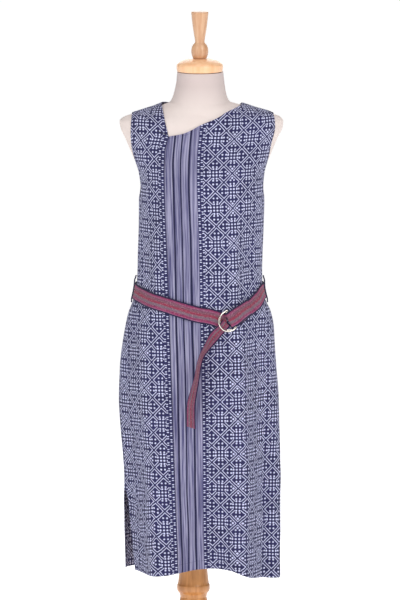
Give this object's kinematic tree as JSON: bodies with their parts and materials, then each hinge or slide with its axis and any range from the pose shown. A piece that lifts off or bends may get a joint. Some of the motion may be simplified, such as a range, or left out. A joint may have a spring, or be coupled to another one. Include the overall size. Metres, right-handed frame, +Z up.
{
  "type": "sheath dress on a dress form",
  "caption": "Sleeveless sheath dress in a white on indigo repeat, with a slanted neckline and a ring belt, on a limbless dress form with a turned wooden stand.",
  "frame": {"origin": "centre of the base's underside, on the floor", "axes": "+Z up along the post; the dress faces -Y, so +X is the wearer's left"},
  "size_m": [0.44, 0.44, 1.6225],
  "materials": {
    "dress_cotton": "soft woven cotton, white geometric repeat and stripes on indigo",
    "belt_cloth": "woven crimson and lavender stripes with navy edges",
    "ring_metal": "polished wire",
    "loop_thread": "navy thread carrier",
    "form_cover": "smooth cream knit cover",
    "pale_wood": "satin clear varnish",
    "stand_wood": "satin honey varnish"
  },
  "bodies": {
    "root": {"front_narrow_panel": "dress_cotton", "front_band_panel": "dress_cotton", "back_panel": "dress_cotton", "belt_strap": "belt_cloth", "belt_tail": "belt_cloth", "belt_ring_outer": "ring_metal", "belt_ring_inner": "ring_metal", "belt_loop_left": "loop_thread", "belt_loop_right": "loop_thread", "form_torso": "form_cover", "neck_cap": "pale_wood", "neck_finial": "pale_wood", "stand_post": "stand_wood", "stand_base": "stand_wood"}
  },
  "joints": []
}
